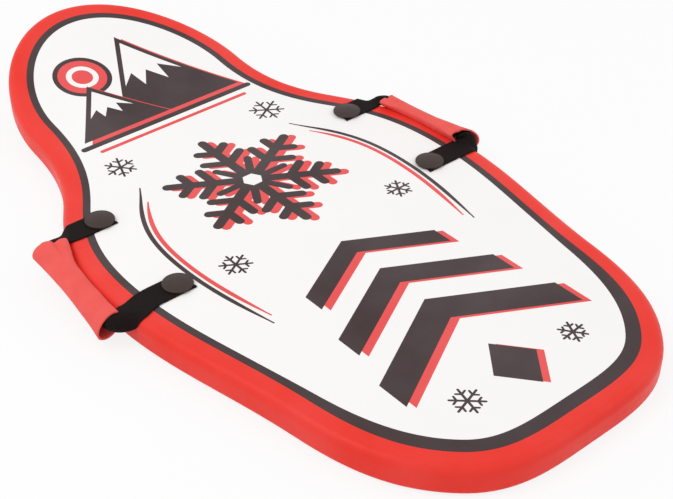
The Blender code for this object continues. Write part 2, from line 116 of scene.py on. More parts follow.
BASE_TUBE_RADIUS = 0.008
BASE_TUBE_HEIGHT = 0.021
BASE_TUBE_CHAMFER = 0.0005
BASE_DISH_RADIUS = 0.0075
BASE_DISH_FLOOR_RADIUS = 0.0068
BASE_DISH_DEPTH = 0.0008
RUNNER_HOLE_STEPS = 64

# Webbing: flat under the cap and over the lead, free up to the mouth, curled inside the sleeve
WEBBING_WIDTH = 0.036
WEBBING_THICKNESS = 0.0018
WEBBING_EDGE = 0.0008
WEBBING_EDGE_SHARES = (0.0, 0.12, 0.45)
WEBBING_END_OVERHANG = 0.012
WEBBING_END_SLANT = 0.007
WEAVE_COLUMN = 0.0018
WEAVE_PICK = 0.0026
UNDERSIDE_OFFSET = WEBBING_WIDTH * 2
HINGE_X = 0.231
LEAD_RUN = 0.008
ROUTE_HANDLE_SHARE = 0.4
MOUTH_DEPTH = 0.003
CURL_RUN = 0.032
SLEEVE_REACH_SHARE = 0.49
NEARLY_FLAT = 0.01
TAB_STEPS = 12
LEAD_STEPS = 4
FLAT_STATIONS = TAB_STEPS + LEAD_STEPS
SLANT_STATIONS = 6
RUN_STEPS = 32
ARC_STEPS = 24
CURL_STEPS = 24
SECTION_SIDES = 16
SMOOTH_ROUNDS = 10
CAP_BOTTOM = DECK + 2 * FIT_GAP + WEBBING_THICKNESS
WEBBING_MIDDLE = DECK + FIT_GAP + WEBBING_THICKNESS / 2

# How far out each strap still lies flat, on its front and its rear run
STRAP_FLAT_TO_X = (0.2436, 0.2688)

# Grips
GRIP_WALL = 0.0022
GRIP_CLEARANCE = 0.0008
GRIP_RIM_ROUNDING = 0.0008
GRIP_STEPS = 54
GRIP_SIDES = 72
FLARE_POWER = 1.7
TIP_POWER = 5
FIN_POWER = 8
ROUNDING_POWER = 3
FIN_THIRDS = 3
GROOVE_ANGLE = radians(142)
GROOVE_SPREAD = radians(9)
GROOVE_DEPTH_SHARE = 0.5
RIPPLES = ((42.0, 0.0005), (130.0, 0.00015))

# How each handle lies at rest. A pair is for its front and then its rear end, but in waist and
# flare it is the section's long and then short side, at the middle and at the ends.
# out, along, height: the sleeve's end, from the middle line, the plugs' middle and the deck
# lean: how far the section's long side tips down outboard
# slant, rounding: how far the sleeve's mouth is cut askew, and how far it bows
# fin, tip: how far the sleeve's seam stands out inboard, and the share by which its edge does
# twist, rise: the strap's roll and lift before it turns into the mouth
# turn, shift: the radius of that turn, and how far inboard of the sleeve's middle it goes in
# curl_share, curl_radius: the curl in the mouth as a share of the full one, and the full radius
HANDLES = {
    "left": dict(
        side=-1, out=(0.2852, 0.3040), along=(0.086, 0.090), height=(-0.003, -0.008),
        lean=(radians(30), radians(48)), slant=(0.014, 0.005), rounding=(0.006, 0.003),
        waist=(0.031, 0.022), flare=(0.038, 0.026), fin=(0.009, 0.0), tip=0.06,
        twist=(radians(50), radians(40)), rise=(-0.003, 0.001), turn=(0.010, 0.009),
        shift=(0.0, 0.0055), curl_share=0.95, curl_radius=0.0092,
    ),
    "right": dict(
        side=1, out=(0.2745, 0.2842), along=(0.081, 0.083), height=(-0.0075, 0.002),
        lean=(radians(44), radians(32)), slant=(0.017, 0.015), rounding=(0.003, 0.001),
        waist=(0.036, 0.0205), flare=(0.043, 0.027), fin=(0.008, 0.003), tip=0.12,
        twist=(radians(50), radians(36)), rise=(-0.001, 0.001), turn=(0.012, 0.006),
        shift=(0.0, 0.0), curl_share=0.9, curl_radius=0.0120,
    ),
}

# Stage, lights and camera: the photo's own view, solved from its four plug discs
FLOOR_REACH = 40.0
FLOOR_COLOUR = (0.93, 0.93, 0.93)
FLOOR_GLOW_SHARE = 0.84
WORLD_LEVEL = 0.72
PURE_WHITE = (1.0, 1.0, 1.0, 1.0)
LAMPS = (
    ("key", (-1.6, 0.6, 2.6), 1.6, 26.0),
    ("fill", (1.8, -1.8, 1.9), 1.8, 9.0),
)
CAMERA_AZIMUTH = radians(-40.320)
CAMERA_ELEVATION = radians(36.724)
CAMERA_DISTANCE = 1.6748
CAMERA_TARGET = Vector((-0.0157, -0.1275, DECK))
CAMERA_LENS = 73.07
CAMERA_SENSOR = 36.0


# Materials

def srgb(*values):
    """A colour of 0 to 255 as Blender's linear values."""
    return tuple((v / 255 / 12.92) if v <= 10 else ((v / 255 + 0.055) / 1.055) ** 2.4
                 for v in values)


RED = srgb(242, 52, 39)
WHITE = srgb(253, 251, 249)
CHARCOAL = srgb(66, 50, 51)
SALMON = srgb(240, 86, 86)
CORE = srgb(240, 240, 236)
CORE_PIT_SHADE = srgb(222, 222, 216)
CORE_RIM_LIGHT = srgb(245, 245, 242)
SLICK = srgb(214, 44, 36)
SLICK_DEEP = srgb(210, 42, 34)
SLICK_SCRATCH = srgb(226, 66, 56)
PLUG = srgb(62, 49, 46)
WEBBING = srgb(26, 18, 17)
GRIP = srgb(243, 92, 86)
NOISE_LOW = 0.3
NOISE_HIGH = 0.7

# Which sockets of a Mix node are its two colours and its result
MIX_FIRST = 6
MIX_SECOND = 7
MIX_RESULT = 2


class Nodes:
    """The nodes of a material or a world, with short calls for adding and joining them."""

    def __init__(self, owner):
        owner.use_nodes = True
        self.nodes = owner.node_tree.nodes
        self.links = owner.node_tree.links

    def add(self, kind, **settings):
        node = self.nodes.new(kind)
        for key, value in settings.items():
            setattr(node, key, value)
        return node

    def join(self, output, socket):
        self.links.new(output, socket)

    def math(self, operation, *values):
        node = self.add("ShaderNodeMath", operation=operation)
        for slot, value in zip(node.inputs, values):
            if isinstance(value, (int, float)):
                slot.default_value = value
            else:
                self.join(value, slot)
        return node.outputs[0]

    def span(self, value, low=NOISE_LOW, high=NOISE_HIGH, to_low=0.0, to_high=1.0):
        """Stretch a range over another one. Most noise lies from NOISE_LOW to NOISE_HIGH."""
        node = self.add("ShaderNodeMapRange")
        self.join(value, node.inputs["Value"])
        for name, number in (("From Min", low), ("From Max", high),
                             ("To Min", to_low), ("To Max", to_high)):
            node.inputs[name].default_value = number
        return node.outputs["Result"]


class Shader(Nodes):
    """A material with a Principled surface, and short calls for the nodes that feed it."""

    def __init__(self, name, colour, roughness, **sockets):
        self.material = bpy.data.materials.new(name)
        super().__init__(self.material)
        self.material.diffuse_color = (*colour, 1.0)
        self.surface = self.nodes["Principled BSDF"]
        self.surface.inputs["Base Color"].default_value = (*colour, 1.0)
        self.surface.inputs["Roughness"].default_value = roughness
        for socket, value in sockets.items():
            self.surface.inputs[socket.replace("_", " ")].default_value = value
        self.height = None

    def place(self):
        return self.add("ShaderNodeTexCoord").outputs["Object"]

    def textured(self, kind, vector, **values):
        """A texture or mapping node on a vector, with its values set by socket name."""
        node = self.add(kind)
        self.join(vector, node.inputs["Vector"])
        for socket, value in values.items():
            node.inputs[socket.title()].default_value = value
        return node.outputs

    def stretched(self, vector, scale):
        return self.textured("ShaderNodeMapping", vector, scale=scale)["Vector"]

    def noise(self, vector, **values):
        return self.textured("ShaderNodeTexNoise", vector, **values)["Fac"]

    def cells(self, vector, scale):
        return self.textured("ShaderNodeTexVoronoi", vector, scale=scale)["Distance"]

    def bump(self, height, distance, strength):
        """Add relief on top of what the surface has already."""
        node = self.add("ShaderNodeBump")
        node.inputs["Distance"].default_value = distance
        node.inputs["Strength"].default_value = strength
        self.join(height, node.inputs["Height"])
        if self.height is not None:
            self.join(self.height, node.inputs["Normal"])
        self.height = node.outputs["Normal"]
        self.join(self.height, self.surface.inputs["Normal"])

    def tint(self, factor, colour_a, colour_b):
        """Vary the surface's colour from one to the other."""
        node = self.add("ShaderNodeMix", data_type="RGBA")
        self.join(factor, node.inputs[0])
        node.inputs[MIX_FIRST].default_value = (*colour_a, 1.0)
        node.inputs[MIX_SECOND].default_value = (*colour_b, 1.0)
        self.join(node.outputs[MIX_RESULT], self.surface.inputs["Base Color"])

    def roughen(self, factor, low, high):
        spread = self.span(factor, to_low=low, to_high=high)
        self.join(spread, self.surface.inputs["Roughness"])


def shade(colour, factor):
    return tuple(min(1.0, channel * factor) for channel in colour)


def pale(colour, share):
    return tuple(channel + (1.0 - channel) * share for channel in colour)


def skin_material(name, colour, roughness, hollow_shade):
    """Formed foam skin: fine pebbled grain and soft hollows, painted faintly darker in the hollows
    as shade.
    """
    skin = Shader(name, colour, roughness, Specular_IOR_Level=0.15)
    place = skin.place()
    hollows = skin.noise(place, scale=9.0, detail=3.0)
    grain = skin.noise(place, scale=620.0, detail=3.0, roughness=0.6)
    patches = skin.noise(place, scale=170.0, detail=3.0)
    # Painted shade: darker in the soft hollows and paler on their crests, following the relief
    # below.
    skin.tint(skin.span(hollows), shade(colour, 1 - hollow_shade), pale(colour, hollow_shade * 0.6))
    skin.bump(hollows, distance=0.004, strength=0.25)
    skin.bump(skin.noise(place, scale=60.0), distance=0.0006, strength=0.30)
    skin.bump(grain, distance=0.00022, strength=0.45)
    skin.roughen(patches, roughness - 0.05, roughness + 0.07)
    return skin.material


def core_material():
    """White foam with its cut cells showing: painted shade in each cell's pit, painted light on the
    rims.
    """
    core = Shader("white_core_foam", CORE, 0.85)
    cells = core.cells(core.place(), scale=520.0)
    # Painted shade in each cut cell's pit and painted light on the raised rims between them.
    core.tint(core.span(cells, 0.0, 0.8), CORE_PIT_SHADE, CORE_RIM_LIGHT)
    core.bump(cells, distance=0.0005, strength=0.6)
    return core.material


def slick_material():
    """Slippery red sheet with fine scratches along the board."""
    slick = Shader("slick_red_sheet", SLICK, 0.24, Coat_Weight=0.15)
    place = slick.place()
    streaks = slick.stretched(place, (900.0, 7.0, 60.0))
    scratches = slick.noise(streaks, scale=1.0, detail=3.0, roughness=0.6)
    slick.tint(slick.span(scratches, 0.35, 0.75), SLICK_DEEP, SLICK_SCRATCH)
    slick.bump(scratches, distance=0.00012, strength=0.35)
    slick.bump(slick.noise(place, scale=14.0), distance=0.002, strength=0.2)
    slick.roughen(scratches, 0.20, 0.36)
    return slick.material


def plug_material():
    """Moulded charcoal plastic with a fine satin grain."""
    plug = Shader("charcoal_plastic", PLUG, 0.38, Specular_IOR_Level=0.2)
    place = plug.place()
    grain = plug.noise(place, scale=1500.0)
    clouds = plug.noise(place, scale=260.0, detail=3.0)
    plug.tint(plug.span(clouds), shade(PLUG, 0.93), shade(PLUG, 1.09))
    plug.bump(grain, distance=0.00008, strength=0.5)
    plug.roughen(grain, 0.34, 0.46)
    return plug.material


def webbing_material():
    """Woven band: columns along it, each crossed by slanted picks half a step apart, with painted
    light and shade.
    """
    band = Shader("black_webbing", WEBBING, 0.78, Specular_IOR_Level=0.12)
    uv = band.add("ShaderNodeUVMap", uv_map="weave").outputs["UV"]
    split = band.add("ShaderNodeSeparateXYZ")
    band.join(uv, split.inputs[0])
    along, across = split.outputs[0], split.outputs[1]
    column = band.math("MULTIPLY", across, 1 / WEAVE_COLUMN)
    stagger = band.math("MULTIPLY", band.math("FLOOR", column), 0.5)
    row = band.math("ADD", band.math("MULTIPLY", along, 1 / WEAVE_PICK), stagger)
    lean = band.math("MULTIPLY", band.math("PINGPONG", column, 1.0), 0.35)
    turns = band.math("MULTIPLY", band.math("ADD", row, lean), pi)
    ridge = band.math("ABSOLUTE", band.math("SINE", band.math("MULTIPLY", column, pi)))
    pick = band.math("ABSOLUTE", band.math("SINE", turns))
    weave = band.math("MULTIPLY", band.math("POWER", ridge, 0.6), band.math("POWER", pick, 0.5))
    fibre = band.noise(band.stretched(uv, (5200.0, 1400.0, 1.0)), scale=1.0)
    # Painted light and shade: yarn crowns lighter and the gaps between them darker, with random
    # fibre tone mixed in.
    band.tint(band.math("MULTIPLY", weave, fibre), shade(WEBBING, 0.5), shade(WEBBING, 1.9))
    band.bump(weave, distance=0.00035, strength=0.8)
    band.bump(fibre, distance=0.0001, strength=0.4)
    return band.material


def grip_material():
    """Matt foam sheet with soft dents, painted a little darker in them as shade, and a fine grain.
    """
    grip = Shader("salmon_foam", GRIP, 0.60, Specular_IOR_Level=0.12)
    place = grip.place()
    dents = grip.noise(place, scale=34.0, detail=3.0)
    grain = grip.noise(place, scale=700.0, detail=3.0, roughness=0.6)
    # Painted shade: a little darker in the soft dents and a touch paler between them.
    grip.tint(grip.span(dents), shade(GRIP, 0.95), pale(GRIP, 0.02))
    grip.bump(dents, distance=0.0016, strength=0.35)
    grip.bump(grain, distance=0.00025, strength=0.5)
    grip.roughen(grip.noise(place, scale=240.0), 0.52, 0.66)
    return grip.material


def make_materials():
    return {
        "red": skin_material("red_foam_skin", RED, 0.40, 0.05),
        "white": skin_material("white_print", WHITE, 0.42, 0.012),
        "charcoal": skin_material("charcoal_print", CHARCOAL, 0.44, 0.05),
        "salmon": skin_material("salmon_print", SALMON, 0.43, 0.04),
        "core": core_material(),
        "slick": slick_material(),
        "plug": plug_material(),
        "webbing": webbing_material(),
        "grip": grip_material(),
    }


# Curves and the board's outline

def ease(share):
    """0 to 1 with a soft start and a soft stop."""
    share = min(max(share, 0.0), 1.0)
    return share * share * (3 - 2 * share)


def bezier(points, t):
    """Place on a curve and the way it runs there."""
    a, b, c, d = points
    s = 1.0 - t
    place = a * s**3 + b * 3 * s * s * t + c * 3 * s * t * t + d * t**3
    heading = (b - a) * s * s + (c - b) * 2 * s * t + (d - c) * t * t
    return place, heading.normalized()


def half_outline():
    """Places and outward normals along the right side, from the nose to the tail."""
    knots = []
    for across, along, heading in OUTLINE_KNOT_SHARES:
        place = Vector((across * SLED_WIDTH / 2, (along - 0.5) * SLED_LENGTH, 0.0))
        knots.append((place, Vector((*heading, 0.0)).normalized()))
    found = []
    for steps, (start, start_heading), (end, end_heading) in zip(OUTLINE_STEPS, knots, knots[1:]):
        reach = (end - start).length * OUTLINE_HANDLE_SHARE
        cage = (start, start + start_heading * reach, end - end_heading * reach, end)
        found += [bezier(cage, step / steps) for step in range(steps)]
    found.append(bezier(cage, 1.0))
    return [(place, Vector((-heading.y, heading.x, 0.0))) for place, heading in found]


OUTLINE = half_outline()


def edge_at(y):
    """How far the board's edge is from its middle line at one place along it."""
    for (near, _), (far, _) in zip(OUTLINE, OUTLINE[1:]):
        if far.y <= y <= near.y:
            return far.x + (near.x - far.x) * (y - far.y) / (near.y - far.y)
    return 0.0


def clear_of_board(point, gap):
    """The point itself, or the nearest place that stands gap off the board's rounded edge."""
    side = 1 if point.x > 0 else -1
    x, z = abs(point.x), point.z
    middle_x, middle_z = edge_at(point.y) - TOP_EDGE_RADIUS, DECK - TOP_EDGE_RADIUS
    reach = TOP_EDGE_RADIUS + gap
    if x <= middle_x:
        z = max(z, DECK + gap)
    elif z <= middle_z:
        x = max(x, middle_x + reach)
    else:
        away = Vector((x - middle_x, 0.0, z - middle_z))
        if away.length < reach:
            away *= reach / away.length
            x, z = middle_x + away.x, middle_z + away.z
    return Vector((side * x, point.y, z))


def outline_ring(inset, height):
    """The whole outline, moved in from the board's edge, at one height."""
    right = [place - normal * inset + UP * height for place, normal in OUTLINE]
    left = [Vector((-point.x, point.y, point.z)) for point in reversed(right[1:-1])]
    return right + left


# Meshes

def add_object(name, data):
    made = bpy.data.objects.new(name, data)
    bpy.context.scene.collection.objects.link(made)
    return made


def loft(bm, rings):
    """Join closed rings of points, one after another, with four-sided faces."""
    loops = [[bm.verts.new(point) for point in ring] for ring in rings]
    for upper, lower in zip(loops, loops[1:]):
        for i in range(len(upper)):
            k = (i + 1) % len(upper)
            bm.faces.new((upper[i], upper[k], lower[k], lower[i]))
    return loops


def shape_board(bm):
    """Weld a flat sheet of the board, cut it across at even stations over the bend, and lift it
    there on a parabola."""
    bmesh.ops.remove_doubles(bm, verts=bm.verts, dist=MERGE_DISTANCE)
    loose = [vert for vert in bm.verts if not vert.link_faces]
    bmesh.ops.delete(bm, geom=loose, context="VERTS")
    for step in range(NOSE_STEPS):
        station = BEND_START_Y + NOSE_BEND_LENGTH * step / NOSE_STEPS
        geometry = bm.verts[:] + bm.edges[:] + bm.faces[:]
        bmesh.ops.bisect_plane(bm, geom=geometry, plane_co=FORE * station, plane_no=FORE,
                               dist=MERGE_DISTANCE)
    for vert in bm.verts:
        share = max(0.0, vert.co.y - BEND_START_Y) / NOSE_BEND_LENGTH
        vert.co.z += NOSE_RISE * share**2
    bmesh.ops.recalc_face_normals(bm, faces=bm.faces)


def finish_piece(name, bm, materials, body, nodes, sharp_angle):
    """A smooth object that rides on its body and stands for its nodes."""
    mesh = bpy.data.meshes.new(name)
    bm.to_mesh(mesh)
    bm.free()
    for entry in materials:
        mesh.materials.append(entry)
    made = add_object(name, mesh)
    mesh.shade_smooth()
    mesh.set_sharp_from_angle(angle=radians(sharp_angle))
    if body:
        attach(made, body)
    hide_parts(*nodes)
    return made


def thicken(made, thickness):
    """Give a sheet its wall, inwards."""
    solid = made.modifiers.new("thickness", "SOLIDIFY")
    solid.thickness = thickness
    solid.offset = -1.0
    solid.use_even_offset = True


# Deck print: flat shapes in board millimetres, lowest first, each with its ink

MILLIMETRES = 1000
INKS = ("red", "white", "charcoal", "salmon")
PRINT_SHADOW = (7, -8)
CIRCLE_STEPS = 40
ROUND_END_STEPS = 7

SUN_PLACE = (-52, 392)
SUN_RINGS = ((42, "charcoal"), (35, "salmon"), (23, "white"), (15, "salmon"))

# Each peak's middle, base line, half width and height, and the teeth of the snow on it as shares
# of the half width and of the height
PEAKS = ((36, 268, 96, 176), (-58, 268, 70, 104))
SNOW_LINE = 7.0
SNOW_TOOTH_SHARES = ((1.0, 0.50), (0.62, 0.36), (0.34, 0.56), (0.0, 0.38), (-0.36, 0.54),
                     (-0.66, 0.36), (-1.0, 0.48))

# Each ground line's left end, right end, place along the board, width and ink
GROUND_LINES = ((-136, 140, 256, 9, "charcoal"), (-118, 122, 240, 6, "salmon"))

# Each pinstripe's front end, rear end, inset from the board's edge and ink
PINSTRIPES = ((190, -215, 100, "charcoal"), (170, -200, 109, "salmon"))
PINSTRIPE_WIDTH = 6.0
PINSTRIPE_TAPER = 6
PINSTRIPE_TIP_SHARE = 0.02

# Snow crystals: where an arm's branches leave it and how long they are, as shares of the arm, and
# each small one's place, arm length and turn
LARGE_FORK_SHARES = ((0.45, 0.30), (0.72, 0.22))
SMALL_FORK_SHARES = ((0.58, 0.34),)
ARMS = 6
ARM_TURN = pi / 3
ARM_END_SHARE = 0.9
BRANCH_SHARE = 0.85
SMALL_ARM_WIDTH = 3.4
SMALL_CRYSTALS = ((-118, 196, 21, 0.2), (122, 188, 24, 0.5), (-128, -72, 20, 0.5),
                  (132, -78, 18, 0.0), (-84, -424, 20, 0.3), (88, -420, 17, 0.1))

# The large crystal: two stars, each with its arm's length and width, its turn and its forks
LARGE_CRYSTAL = (0, 62)
LARGE_STARS = ((112, 15, pi / 6, LARGE_FORK_SHARES), (52, 12, 0.0, ()))
HUB_RINGS = ((22, "charcoal"), (14, "white"))

# Each arrow's point, half width and thickness, and the lozenge at the tail
ARROWS = ((-118, 104, 30), (-190, 124, 36), (-268, 140, 44))
ARROW_DEPTH_SHARE = 0.55
LOZENGE = [(0, -372), (34, -414), (0, -456), (-34, -414)]
LOZENGE_SHADOW = (6, -6)

PLUG_HOLE_STEPS = 32
PLUG_PATCH_SHARE = 0.6


def circle(x, y, radius, steps=CIRCLE_STEPS):
    return [(x + radius * cos(2 * pi * k / steps), y + radius * sin(2 * pi * k / steps))
            for k in range(steps)]


def bar(start, end, start_width, end_width):
    """A straight stroke with round ends."""
    (ax, ay), (bx, by) = start, end
    heading = atan2(by - ay, bx - ax)
    points = []
    for x, y, half, turn in ((bx, by, end_width / 2, -pi / 2), (ax, ay, start_width / 2, pi / 2)):
        for step in range(ROUND_END_STEPS + 1):
            angle = heading + turn + pi * step / ROUND_END_STEPS
            points.append((x + half * cos(angle), y + half * sin(angle)))
    return points


def moved(polygon, shift):
    return [(x + shift[0], y + shift[1]) for x, y in polygon]


def crystal(x, y, size, width, turn, forks):
    """A six-armed snow crystal."""
    shapes = []
    for arm in range(ARMS):
        angle = turn + arm * ARM_TURN
        ux, uy = cos(angle), sin(angle)
        end = (x + ux * size, y + uy * size)
        shapes.append(bar((x, y), end, width, width * ARM_END_SHARE))
        for at, reach in forks:
            for side in (-1, 1):
                sx, sy = x + ux * size * at, y + uy * size * at
                tip = angle + side * ARM_TURN
                end = (sx + cos(tip) * size * reach, sy + sin(tip) * size * reach)
                shapes.append(bar((sx, sy), end, width * BRANCH_SHARE, width * BRANCH_SHARE))
    return shapes


def chevron(y, half, depth, thick):
    """A wide arrow that points to the nose."""
    return [(0.0, y), (half, y - depth), (half, y - depth - thick), (0.0, y - thick),
            (-half, y - depth - thick), (-half, y - depth)]


def border_line(inset, tail_extra):
    """A closed line inside the outline, drawn further in towards the tail."""
    right = []
    for place, normal in OUTLINE:
        extra = tail_extra * ease((TAIL_LINE_START_Y - place.y) / TAIL_LINE_RUN)
        point = (place - normal * (inset + extra)) * MILLIMETRES
        right.append((point.x, point.y))
    return right + [(-x, y) for x, y in reversed(right[1:-1])]


def pinstripe(side, front, rear, inset):
    """A line that follows the outline and runs to a point at each end."""
    run = [(place, normal) for place, normal in OUTLINE
           if rear <= place.y * MILLIMETRES <= front]
    outer, inner = [], []
    for i, (place, normal) in enumerate(run):
        share = i / (len(run) - 1)
        from_tip = max(PINSTRIPE_TIP_SHARE, min(share, 1 - share))
        half = PINSTRIPE_WIDTH / 2 * min(1.0, sqrt(from_tip * PINSTRIPE_TAPER))
        for line, offset in ((outer, -half), (inner, half)):
            point = place * MILLIMETRES - normal * (inset + offset)
            line.append((side * point.x, point.y))
    return outer + list(reversed(inner))


def snow_cap(x, base, half, height):
    """White snow inside a peak's outline, with a jagged lower edge."""
    top = base + height - SNOW_LINE * sqrt(1 + (height / half) ** 2)
    return [(x, top)] + [(x + half * share * depth, top - height * depth)
                         for share, depth in SNOW_TOOTH_SHARES]


def mountain_shapes():
    """Mountains on the nose, with a low sun behind them."""
    shapes = [(circle(*SUN_PLACE, radius), ink) for radius, ink in SUN_RINGS]
    for x, base, half, height in PEAKS:
        outer = [(x - half, base), (x + half, base), (x, base + height)]
        shapes += [(moved(outer, PRINT_SHADOW), "salmon"), (outer, "charcoal"),
                   (snow_cap(x, base, half, height), "white")]
    for left, right, y, width, ink in GROUND_LINES:
        shapes.append((bar((left, y), (right, y), width, width), ink))
    return shapes


def crystal_shapes():
    """The large crystal in the middle of the deck, with a second star inside it."""
    arms = [shape for star in LARGE_STARS for shape in crystal(*LARGE_CRYSTAL, *star)]
    shapes = [(moved(shape, PRINT_SHADOW), "salmon") for shape in arms]
    shapes += [(shape, "charcoal") for shape in arms]
    return shapes + [(circle(*LARGE_CRYSTAL, radius, ARMS), ink) for radius, ink in HUB_RINGS]


def arrow_shapes():
    """Wide arrows on the rear half of the deck, and a lozenge behind them."""
    shapes = []
    for y, half, thick in ARROWS:
        arrow = chevron(y, half, half * ARROW_DEPTH_SHARE, thick)
        shapes += [(moved(arrow, PRINT_SHADOW), "salmon"), (arrow, "charcoal")]
    return shapes + [(moved(LOZENGE, LOZENGE_SHADOW), "salmon"), (LOZENGE, "charcoal")]


def plug_shapes():
    """A plain patch under each cap, with the post's hole through it."""
    rings = ((CAP_RADIUS * PLUG_PATCH_SHARE, "white"), (POST_RADIUS + FIT_GAP * 2, "white"),
             (POST_RADIUS + FIT_GAP, None))
    return [(circle(x * MILLIMETRES, y * MILLIMETRES, radius * MILLIMETRES, PLUG_HOLE_STEPS), ink)
            for x, y in PLUG_PLACES for radius, ink in rings]


def print_shapes():
    shapes = [(border_line(PRINT_MARGIN, 0.0), "charcoal"),
              (border_line(PRINT_MARGIN + PRINT_LINE, TAIL_LINE_EXTRA), "white")]
    shapes += mountain_shapes()
    for side in (-1, 1):
        for front, rear, inset, ink in PINSTRIPES:
            shapes.append((pinstripe(side, front, rear, inset), ink))
    shapes += crystal_shapes() + arrow_shapes()
    for x, y, size, turn in SMALL_CRYSTALS:
        small = crystal(x, y, size, SMALL_ARM_WIDTH, turn, SMALL_FORK_SHARES)
        shapes += [(shape, "charcoal") for shape in small]
    return shapes + plug_shapes()


# Board

def cut_up(polygons):
    """Triangles that keep to every polygon's edges, with the polygons that own each."""
    points, faces = [], []
    for polygon in polygons:
        turn = sum(ax * by - bx * ay
                   for (ax, ay), (bx, by) in zip(polygon, polygon[1:] + polygon[:1]))
        faces.append(list(range(len(points), len(points) + len(polygon))))
        points += [Vector(point) for point in (polygon if turn > 0 else polygon[::-1])]
    places, _, triangles, _, _, owners = delaunay_2d_cdt(points, [], faces, 1,
                                                         MERGE_DISTANCE / 10)
    return places, triangles, owners


def print_faces(bm, border):
    """The flat top inside border, cut along every printed edge, each face with its ink."""
    layers = [([(p.x, p.y) for p in border], "red")]
    layers += [([(x / MILLIMETRES, y / MILLIMETRES) for x, y in polygon], ink)
               for polygon, ink in print_shapes()]
    places, triangles, owners = cut_up([polygon for polygon, _ in layers])
    verts = [bm.verts.new((place.x, place.y, DECK)) for place in places]
    for triangle, owner in zip(triangles, owners):
        ink = layers[max(owner)][1] if owner else None
        if ink is not None:
            bm.faces.new([verts[i] for i in triangle]).material_index = INKS.index(ink)


def edge_rings(bottom):
    """Insets and heights down the skin's side, rounded at the deck and at the underside."""
    angles = [pi / 2 * step / EDGE_STEPS for step in range(EDGE_STEPS + 1)]
    upper = [(TOP_EDGE_RADIUS * (1 - sin(angle)), DECK - TOP_EDGE_RADIUS * (1 - cos(angle)))
             for angle in angles]
    lower = [(BOTTOM_EDGE_RADIUS * (1 - cos(angle)), bottom + BOTTOM_EDGE_RADIUS * (1 - sin(angle)))
             for angle in angles]
    return upper + lower


def build_skin(materials):
    """Printed foam skin over the deck, down the side and a little way under."""
    bm = bmesh.new()
    bottom = RUNNER_THICKNESS - SKIN_THICKNESS
    profile = [(TOP_EDGE_RADIUS + PRINT_BORDER_GUARD, DECK)] + edge_rings(bottom)
    profile.append((SKIN_TURN_UNDER, bottom))
    rings = [outline_ring(inset, height) for inset, height in profile]
    loft(bm, rings)
    print_faces(bm, rings[0])
    shape_board(bm)
    top = max(bm.faces, key=lambda face: face.calc_center_median().z)
    if top.normal.z < 0:
        bmesh.ops.reverse_faces(bm, faces=bm.faces)
    made = finish_piece("printed_deck_skin", bm, [materials[ink] for ink in INKS], "board",
                        ("deck_skin",), sharp_angle=40.0)
    thicken(made, SKIN_THICKNESS)


def build_runner(materials):
    """Slick sheet under the board, cut out round the plugs' bases."""
    bm = bmesh.new()
    inset = SKIN_TURN_UNDER + RUNNER_EDGE_GAP
    profile = ((inset, RUNNER_THICKNESS), (inset, RUNNER_THICKNESS / 2),
               (inset + RUNNER_THICKNESS / 5, RUNNER_THICKNESS / 5),
               (inset + RUNNER_THICKNESS / 2, 0.0))
    holes = [circle(x, y, BASE_FLANGE_RADIUS + FIT_GAP, RUNNER_HOLE_STEPS) for x, y in PLUG_PLACES]
    rings = [outline_ring(offset, height) for offset, height in profile]
    loft(bm, rings)
    for ring, height in ((rings[0], RUNNER_THICKNESS), (rings[-1], 0.0)):
        places, triangles, owners = cut_up([[(p.x, p.y) for p in ring]] + holes)
        verts = [bm.verts.new((place.x, place.y, height)) for place in places]
        for triangle, owner in zip(triangles, owners):
            if owner and max(owner) == 0:
                bm.faces.new([verts[i] for i in triangle])
    for hole in holes:
        loft(bm, [[Vector((x, y, height)) for x, y in hole] for height in (RUNNER_THICKNESS, 0.0)])
    shape_board(bm)
    finish_piece("slick_runner", bm, [materials["slick"]], "board",
                 ("slick_runner_sheet",), sharp_angle=30.0)


# Plugs

def build_turned(name, profile, place, material, node):
    """A profile of radius and height turned about its own axis, fine enough to look round."""
    bm = bmesh.new()
    turns = [2 * pi * k / TURN_STEPS for k in range(TURN_STEPS)]
    rings = [[place + Vector((radius * cos(turn), radius * sin(turn), height)) for turn in turns]
             for radius, height in profile if radius > 0.0]
    loops = loft(bm, rings)
    for loop, height in ((loops[0], profile[0][1]), (loops[-1], profile[-1][1])):
        middle = bm.verts.new(place + UP * height)
        for i, vert in enumerate(loop):
            bm.faces.new((vert, loop[(i + 1) % len(loop)], middle))
    bmesh.ops.recalc_face_normals(bm, faces=bm.faces)
    finish_piece(name, bm, [material], "board", (node,), sharp_angle=35.0)


def rounded(middle_radius, middle_height, fillet, start, turn, steps):
    """Points of a profile round a fillet."""
    angles = [start + turn * k / steps for k in range(steps + 1)]
    return [(middle_radius + fillet * cos(angle), middle_height + fillet * sin(angle))
            for angle in angles]


def cap_profile():
    """Domed disc with a rounded rim, on a post that tapers at its foot."""
    rim = CAP_BOTTOM + CAP_RIM_HEIGHT
    profile = [(0.0, rim + CAP_DOME_HEIGHT)]
    for step in range(1, CAP_DOME_STEPS):
        radius = (CAP_RADIUS - CAP_FILLET) * step / CAP_DOME_STEPS
        share = radius / CAP_RADIUS
        profile.append((radius, rim + CAP_DOME_HEIGHT * (1 - share**CAP_DOME_POWER)))
    profile += rounded(CAP_RADIUS - CAP_FILLET, rim - CAP_FILLET_DROP, CAP_FILLET,
                       CAP_FILLET_TURN, -CAP_FILLET_TURN, CAP_FILLET_STEPS)
    profile += rounded(CAP_RADIUS - CAP_LOWER_FILLET, CAP_BOTTOM + CAP_LOWER_FILLET,
                       CAP_LOWER_FILLET, 0.0, -pi / 2, CAP_LOWER_FILLET_STEPS)
    foot = CAP_BOTTOM - POST_LENGTH
    return profile + [(POST_RADIUS + POST_ROOT_WIDENING, CAP_BOTTOM),
                      (POST_RADIUS, CAP_BOTTOM - POST_ROOT_DROP),
                      (POST_RADIUS, foot + POST_RADIUS / 2), (POST_RADIUS / 2, foot), (0.0, foot)]


